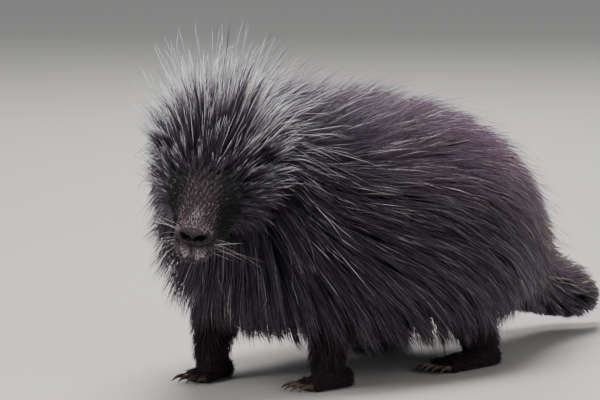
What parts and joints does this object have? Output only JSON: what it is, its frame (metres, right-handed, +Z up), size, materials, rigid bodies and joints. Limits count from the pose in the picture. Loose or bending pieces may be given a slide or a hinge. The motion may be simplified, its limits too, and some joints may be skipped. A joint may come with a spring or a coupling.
{
  "type": "north american porcupine",
  "caption": "Life-size porcupine model standing on all fours, head turned to its left, with a coat of long bristly guard hair, a spined tail and long curved claws.",
  "frame": {"origin": "middle of the bounding box in plan, at the level of the soles", "axes": "+Z up, -Y towards the head end, +X towards the animal's left side"},
  "size_m": [0.3136, 0.7422, 0.3787],
  "materials": {
    "guard_hair": "dark guard hair and underfur, soft sheen",
    "face_fur": "short grizzled fur, matt",
    "leg_fur": "short black-brown fur, matt",
    "sole_skin": "short fur above, bare pebbled pad skin below",
    "claw_horn": "dark horn, smooth",
    "eye_dark": "wet, almost black"
  },
  "bodies": {
    "root": {"ear_left": "face_fur", "ear_right": "face_fur", "eye_left": "eye_dark", "eye_right": "eye_dark", "foreclaw_left_1": "claw_horn", "foreclaw_left_2": "claw_horn", "foreclaw_left_3": "claw_horn", "foreclaw_left_4": "claw_horn", "foreclaw_right_1": "claw_horn", "foreclaw_right_2": "claw_horn", "foreclaw_right_3": "claw_horn", "foreclaw_right_4": "claw_horn", "forefoot_left": "sole_skin", "forefoot_right": "sole_skin", "foreleg_left": "leg_fur", "foreleg_right": "leg_fur", "head": "face_fur", "hindclaw_left_1": "claw_horn", "hindclaw_left_2": "claw_horn", "hindclaw_left_3": "claw_horn", "hindclaw_left_4": "claw_horn", "hindclaw_left_5": "claw_horn", "hindclaw_right_1": "claw_horn", "hindclaw_right_2": "claw_horn", "hindclaw_right_3": "claw_horn", "hindclaw_right_4": "claw_horn", "hindclaw_right_5": "claw_horn", "hindfoot_left": "sole_skin", "hindfoot_right": "sole_skin", "hindleg_left": "leg_fur", "hindleg_right": "leg_fur", "neck": "guard_hair", "tail": "guard_hair", "torso": "guard_hair"}
  },
  "joints": []
}
